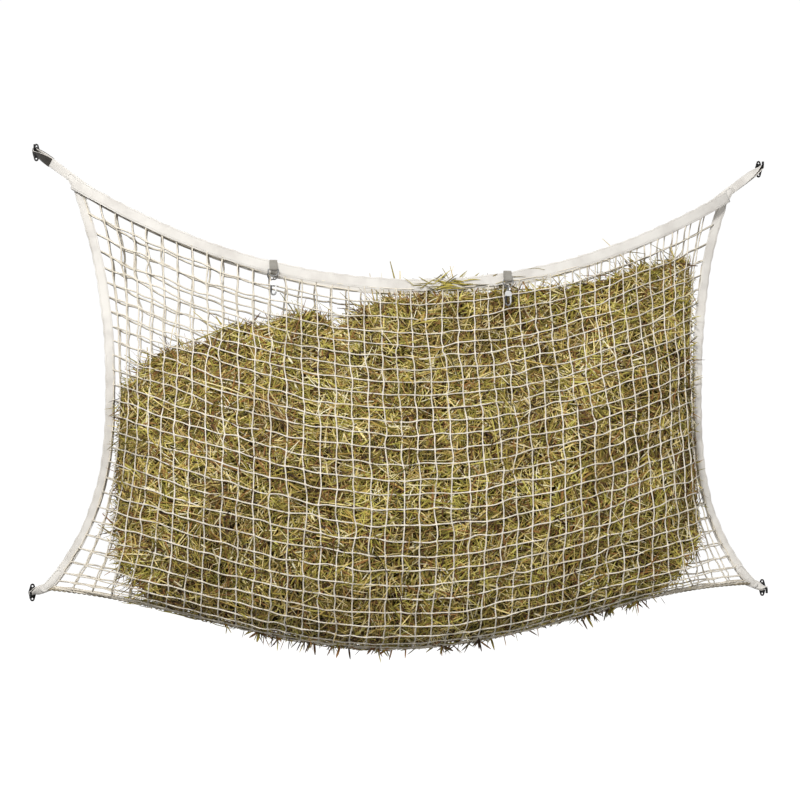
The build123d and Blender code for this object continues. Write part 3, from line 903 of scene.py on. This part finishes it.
def blades(points, side, face, half_width, taper):
    """Vertices of three-sided stalks along paths of shape (stalks, rings, 3)."""
    width = half_width[:, None] * np.array(taper)[None, :]
    sideways, outward = BLADE[None, None, :, 0, None], BLADE[None, None, :, 1, None]
    shape = sideways * side[:, :, None, :] + outward * face[:, :, None, :]
    return points[:, :, None, :] + width[:, :, None, None] * shape


SNAP_BOXES = [[np.array(c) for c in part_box(f"{side}_front_snap_body")] for side in ("left", "right")]
SNAP_ROOM = 0.005


def clear_of_snaps(points):
    """Which stalks leave room for a snap to turn round on its swivel."""
    dense = np.concatenate([points, (points[:, 1:] + points[:, :-1]) / 2], axis=1)
    kept = np.ones(len(points), bool)
    for low, high in SNAP_BOXES:
        centre, reach = (low + high) / 2, (high - low) / 2 + SNAP_ROOM
        away = np.hypot(dense[..., 0] - centre[0], dense[..., 1] - centre[1])
        near = (away < reach[0]) & (np.abs(dense[..., 2] - centre[2]) < reach[2])
        kept &= ~near.any(axis=1)
    return kept


class Stalks:
    """Collects stalks of one colour and makes them one mesh."""

    def __init__(self):
        self.verts, self.tints, self.shapes = [], [], []

    def add(self, points, side, half_width, roll, taper, tint):
        kept = clear_of_snaps(points)
        points, side, half_width, roll, tint = (part[kept] for part in (points, side, half_width, roll, tint))
        tangent = unit(np.gradient(points, axis=1))
        side = unit(side - tangent * np.sum(tangent * side, axis=-1, keepdims=True))
        face = np.cross(tangent, side)
        cosine, sine = np.cos(roll)[:, None, None], np.sin(roll)[:, None, None]
        turned_side = side * cosine + face * sine
        turned_face = face * cosine - side * sine
        made = blades(points, turned_side, turned_face, half_width, taper)
        self.verts.append(made.reshape(-1, 3))
        self.shapes.append(made.shape[:2])
        self.tints.append(np.repeat(tint, made.shape[1] * 3))

    def build(self, name, material):
        loops, starts, base, corner = [], [], 0, 0
        for stalks, rings in self.shapes:
            own_loops, own_starts = loft_faces(stalks, rings, 3)
            loops.append(own_loops + base)
            starts.append(own_starts + corner)
            base += stalks * rings * 3
            corner += len(own_loops)
        layers = {"tint": np.concatenate(self.tints)}
        verts, loops, starts = (np.concatenate(part) for part in (self.verts, loops, starts))
        piece = new_object(name, verts, loops, starts, material, False, layers)
        belongs(piece, "hay_fill")


TAPER = {5: (0.45, 0.95, 1.0, 0.85, 0.3), 4: (0.5, 1.0, 0.9, 0.35), 3: (0.6, 1.0, 0.5)}
swirl = waves(41, 0.34)


def lay_stalks(heap, count, panel, draw, length, half_width, rings, reach_out):
    """Stalks pressed against a panel from inside, some with an end pushed out through the mesh."""
    x = draw.uniform(-0.72, 0.735, count * 2)
    high = np.minimum(hay_top_z(x) - 0.008 + 0.008 * ragged(x, 0 * x), top_z(x) - 0.026)
    z = hay_low_z(x) + 0.004 + (high - hay_low_z(x)) * draw.uniform(0, 1, count * 2) ** 0.95
    kept = np.abs(x) < side_x(z) - 0.052
    x, z = x[kept][:count], z[kept][:count]
    count = len(x)
    size = length * np.exp(draw.normal(0, 0.42, count))
    heading = 1.1 * swirl(x, z) + draw.normal(0, 0.95, count)
    bend = draw.normal(0, 1.6, count)
    steps = np.linspace(-0.5, 0.5, rings)
    distance = size[:, None] * steps[None, :]
    angle = heading[:, None] + bend[:, None] * distance
    step_x, step_z = np.cos(angle), np.sin(angle)
    along_x = np.cumsum(step_x, axis=1) - np.cumsum(step_x, axis=1)[:, rings // 2][:, None]
    along_z = np.cumsum(step_z, axis=1) - np.cumsum(step_z, axis=1)[:, rings // 2][:, None]
    pitch = (size / (rings - 1))[:, None]
    path_x, path_z = x[:, None] + along_x * pitch, z[:, None] + along_z * pitch
    limit = side_x(path_z) - 0.040
    path_x = np.clip(path_x, -limit, limit)
    path_z = np.maximum(path_z, bottom_z(path_x) - 0.006)
    under = np.abs(draw.normal(0, 0.0095, count)) + 0.0012
    surface = hay_surface(path_x, path_z, panel)
    tilt = draw.normal(0, 0.10, count)[:, None] * distance
    poke = np.where(draw.uniform(0, 1, count) < reach_out, draw.uniform(0.1, 0.42, count), 0)
    poke = poke[:, None] * np.clip(distance, 0, None)
    inward = 1 if panel == "front" else -1
    depth = surface - inward * (under[:, None] + np.abs(tilt)) + inward * np.minimum(poke, 0.013)
    back_limit = hay_surface(path_x, path_z, "back") + 0.002
    depth = np.maximum(depth, np.minimum(back_limit, surface)) if panel == "front" else depth
    points = np.stack([path_x, -depth, path_z + NET_MID_Z], axis=-1)
    side = np.stack([-step_z, np.zeros_like(step_x), step_x], axis=-1)
    roll = draw.uniform(-0.9, 0.9, count)
    wide = half_width * np.exp(draw.normal(0, 0.35, count))
    heap.add(points, side, wide, roll, TAPER[rings], draw.uniform(0, 1, count))


def strew_stalks(heap, count, draw, length, half_width):
    """Loose stalks on top of the hay, between the two panels."""
    x = draw.uniform(-0.70, 0.72, count)
    z = np.minimum(hay_top_z(x) - 0.012 + 0.008 * ragged(x, 0 * x), top_z(x) - 0.026)
    near, far = hay_surface(x, z, "back") + 0.006, hay_surface(x, z, "front") - 0.006
    depth = near + (far - near) * draw.uniform(0, 1, count)
    size = length * np.exp(draw.normal(0, 0.4, count))
    way = draw.normal(0, 0.5, count) + np.where(draw.uniform(0, 1, count) < 0.5, 0, np.pi)
    climb = draw.normal(0.05, 0.28, count)
    steps = np.linspace(-0.5, 0.5, 4)
    distance = size[:, None] * steps[None, :]
    slope = np.gradient(hay_top_z(np.linspace(-0.8, 0.8, 200)), 1.6 / 199)
    ground = np.interp(x, np.linspace(-0.8, 0.8, 200), slope)
    path_x = x[:, None] + distance * np.cos(way)[:, None]
    path_y = depth[:, None] + distance * np.sin(way)[:, None] * 0.5
    path_z = z[:, None] + distance * (climb + ground * np.cos(way))[:, None] - 1.2 * distance ** 2
    front_limit = hay_surface(path_x, path_z, "front") - 0.004
    path_y = np.clip(path_y, hay_surface(path_x, path_z, "back") + 0.004, np.maximum(front_limit, 0.03))
    limit = side_x(path_z) - 0.045
    points = np.stack([np.clip(path_x, -limit, limit), -path_y, path_z + NET_MID_Z], axis=-1)
    side = np.tile(OUT, (count, 4, 1)).astype(float)
    wide = half_width * np.exp(draw.normal(0, 0.35, count))
    heap.add(points, side, wide, draw.uniform(-1.5, 1.5, count), TAPER[4], draw.uniform(0, 1, count))


def wisps(heap, starts, headings, sizes, droop, half_width, draw):
    """Free stalks that stick out of the heap: starts and headings of shape (count, 3)."""
    steps = np.linspace(0, 1, 5)
    distance = sizes[:, None] * steps[None, :]
    points = starts[:, None, :] + headings[:, None, :] * distance[..., None]
    points[..., 2] -= droop[:, None] * distance ** 2
    side = np.tile(OUT, (len(starts), 5, 1)).astype(float)
    wide = half_width * np.exp(draw.normal(0, 0.3, len(starts)))
    roll = draw.uniform(-1.5, 1.5, len(starts))
    heap.add(points, side, wide, roll, TAPER[5], draw.uniform(0, 1, len(starts)))


def top_wisps(heap, count, draw):
    """Stalks that lie over the mouth's front band and stand up out of it."""
    rest = count // 10
    x = np.concatenate([draw.normal(0.090, 0.036, count - rest), draw.uniform(0.1, 0.62, rest)])
    s, t = panel_st(x, top_z(x))
    depth = front_depth(s, t) + LAYER_GAP + draw.uniform(-0.012, 0.007, count)
    z = top_z(x) - draw.uniform(0.010, 0.034, count)
    starts = np.stack([x, -depth, z + NET_MID_Z], axis=-1)
    standing = np.arange(count) < (count - rest) * 2 // 3
    lift = np.where(standing, draw.uniform(0.1, 1.1, count), draw.uniform(0, 0.25, count))
    way = np.where(draw.uniform(0, 1, count) < 0.5, 1.0, -1.0)
    headings = unit(np.stack([way, draw.normal(0, 0.10, count), lift], axis=-1))
    wisps(heap, starts, headings, draw.uniform(0.030, 0.062, count), draw.uniform(0, 5, count), 0.0015, draw)


def bottom_wisps(heap, count, draw):
    """Stalks that hang out below the fold."""
    loose = count // 4
    tufts = draw.choice((-0.38, -0.33, -0.26, -0.19, -0.09, 0.08, 0.17, 0.45, 0.52, 0.58), count - loose)
    x = np.concatenate([draw.uniform(-0.50, 0.66, loose), tufts + draw.normal(0, 0.012, count - loose)])
    s = x / (MID_HALF_WIDTH + BOTTOM_FLARE)
    depth = edge_depth(s, 0 * s) + draw.uniform(-0.004, 0.050, count)
    starts = np.stack([x, -depth, bottom_z(x) + NET_MID_Z + draw.uniform(0.0, 0.012, count)], axis=-1)
    sway = [draw.normal(0, 0.9, count), draw.normal(-0.1, 0.25, count), -np.ones(count)]
    headings = unit(np.stack(sway, axis=-1))
    wisps(heap, starts, headings, draw.uniform(0.010, 0.040, count), np.zeros(count), 0.0021, draw)


def cell_wisps(heap, count, draw):
    """Short ends that stick out through the mesh all over the front."""
    x = draw.uniform(-0.70, 0.72, count)
    high = np.minimum(hay_top_z(x), top_z(x) - 0.03)
    z = bottom_z(x) + 0.02 + (high - bottom_z(x) - 0.02) * draw.uniform(0, 1, count)
    depth = hay_surface(x, z, "front") - 0.006
    starts = np.stack([x, -depth, z + NET_MID_Z], axis=-1)
    angle = draw.uniform(0, 2 * np.pi, count)
    headings = unit(np.stack([np.cos(angle), -draw.uniform(0.2, 0.6, count), np.sin(angle)], axis=-1))
    wisps(heap, starts, headings, draw.uniform(0.015, 0.040, count), draw.uniform(0, 2, count), 0.0008, draw)


def end_stalks(heap, count, draw):
    """Stalks over the two ends of the heap, between the panels."""
    way = np.where(draw.uniform(0, 1, count) < 0.5, -1.0, 1.0)
    end = np.where(way < 0, HAY_LEFT_X, HAY_RIGHT_X)
    high = np.minimum(hay_top_z(end), top_z(end) - 0.04)
    z = hay_low_z(end) + 0.025 + (high - hay_low_z(end) - 0.045) * draw.uniform(0, 1, count)
    limit = side_x(z) - 0.045
    x = np.clip(end + way * draw.uniform(-0.012, 0.016, count), -limit, limit)
    near, far = hay_surface(x, z, "back") + 0.004, hay_surface(x, z, "front") - 0.004
    depth = near + (far - near) * draw.uniform(0, 1, count)
    starts = np.stack([x, -depth, z + NET_MID_Z], axis=-1)
    inward = np.sign(depth - (near + far) / 2) * np.abs(draw.normal(0, 0.6, count))
    outward = way * np.abs(draw.normal(0, 0.22, count))
    headings = unit(np.stack([outward, inward, draw.normal(0, 1, count)], axis=-1))
    wisps(heap, starts, headings, draw.uniform(0.020, 0.050, count), draw.uniform(0, 2, count), 0.0011, draw)


STALK_HALF_WIDTH = 0.00115
CHAFF_HALF_WIDTH = 0.00140
SHARES = {"olive": 0.23, "green": 0.22, "straw": 0.22, "pale": 0.11, "brown": 0.22}
FRONT_STALKS = 13500
BACK_STALKS = 6000
CHAFF = 17000

hay_core()
for number, (colour, share) in enumerate(SHARES.items()):
    draw = np.random.default_rng(500 + number)
    heap = Stalks()
    lay_stalks(heap, int(FRONT_STALKS * share), "front", draw, 0.062, STALK_HALF_WIDTH, 4, 0.25)
    lay_stalks(heap, int(CHAFF * share), "front", draw, 0.026, CHAFF_HALF_WIDTH, 3, 0.35)
    lay_stalks(heap, int(BACK_STALKS * share), "back", draw, 0.070, STALK_HALF_WIDTH, 4, 0.10)
    strew_stalks(heap, int(1500 * share), draw, 0.045, 0.0011)
    cell_wisps(heap, int(1800 * share), draw)
    end_stalks(heap, int(4200 * share), draw)
    if colour == "olive":
        top_wisps(heap, 120, draw)
    if colour in ("olive", "brown"):
        bottom_wisps(heap, 130, draw)
    heap.build(f"hay_stalks_{colour}", hay_material(f"hay_{colour}", *HAY_COLOURS[colour]))


# Stage, light and camera

FLOOR_REACH = 14.0
FLOOR_DROP = 0.62


def stage():
    """A pale floor below the net and a soft white world, both plain white to the camera."""
    mesh = bpy.data.meshes.new("floor")
    reach, level = FLOOR_REACH, cad_box[0][2] - FLOOR_DROP
    corners = [(-reach, -reach, level), (reach, -reach, level), (reach, reach, level), (-reach, reach, level)]
    mesh.from_pydata(corners, [], [(0, 1, 2, 3)])
    floor = bpy.data.objects.new("floor", mesh)
    bpy.context.scene.collection.objects.link(floor)
    m = Nodes("pale_floor", 0.9, specular=0.1)
    m.shader.inputs["Base Color"].default_value = (0.30, 0.30, 0.30, 1.0)
    m.shader.inputs["Emission Color"].default_value = (1.0, 1.0, 1.0, 1.0)
    seen = m.add("ShaderNodeLightPath").outputs["Is Camera Ray"]
    m.tree.links.new(m.math("MULTIPLY", seen, 0.95), m.shader.inputs["Emission Strength"])
    mesh.materials.append(m.material)

    world = bpy.data.worlds.new("studio")
    bpy.context.scene.world = world
    world.use_nodes = True
    tree = world.node_tree
    background = tree.nodes["Background"]
    background.inputs["Color"].default_value = (1.0, 1.0, 1.0, 1.0)
    seen = tree.nodes.new("ShaderNodeLightPath")
    direction = tree.nodes.new("ShaderNodeTexCoord")
    split = tree.nodes.new("ShaderNodeSeparateXYZ")
    soft = tree.nodes.new("ShaderNodeMapRange")
    for limit, value in (("From Min", -0.35), ("From Max", 0.75), ("To Min", 0.09), ("To Max", 0.46)):
        soft.inputs[limit].default_value = value
    level_of = tree.nodes.new("ShaderNodeMix")
    level_of.inputs["B"].default_value = 1.02
    tree.links.new(direction.outputs["Generated"], split.inputs["Vector"])
    tree.links.new(split.outputs["Z"], soft.inputs["Value"])
    tree.links.new(seen.outputs["Is Camera Ray"], level_of.inputs["Factor"])
    tree.links.new(soft.outputs["Result"], level_of.inputs["A"])
    tree.links.new(level_of.outputs["Result"], background.inputs["Strength"])


def area_light(name, place, aim, size, power):
    """A rectangular lamp."""
    light = bpy.data.lights.new(name, "AREA")
    light.shape = "RECTANGLE"
    light.size, light.size_y = size
    light.energy = power
    lamp = bpy.data.objects.new(name, light)
    bpy.context.scene.collection.objects.link(lamp)
    point_at(lamp, place, aim)


def point_at(thing, place, aim):
    thing.location = place
    thing.rotation_euler = (Vector(aim) - Vector(place)).to_track_quat("-Z", "Y").to_euler()


CAMERA_PLACE = (-0.450, -4.000, -0.323)
CAMERA_TURN = (math.pi / 2 + 0.0376, 0.0, -0.1078)


def camera():
    """A camera a little below and left of the net's middle, as in the photograph."""
    lens = bpy.data.cameras.new("camera")
    lens.lens = 69.5
    lens.sensor_width = 36.0
    lens.shift_y = 0.0424
    eye = bpy.data.objects.new("camera", lens)
    bpy.context.scene.collection.objects.link(eye)
    eye.location = CAMERA_PLACE
    eye.rotation_euler = CAMERA_TURN
    bpy.context.scene.camera = eye


stage()
area_light("key", (-1.6, -3.8, 2.1), (0.0, 0.0, -0.1), (0.8, 0.8), 176)
area_light("fill", (2.2, -3.6, -0.9), (0.0, 0.0, -0.2), (2.0, 2.0), 50)
area_light("back", (0.6, 3.4, 2.2), (0.0, 0.0, -0.1), (2.0, 1.6), 95)
camera()
bpy.context.scene.view_settings.view_transform = "Standard"
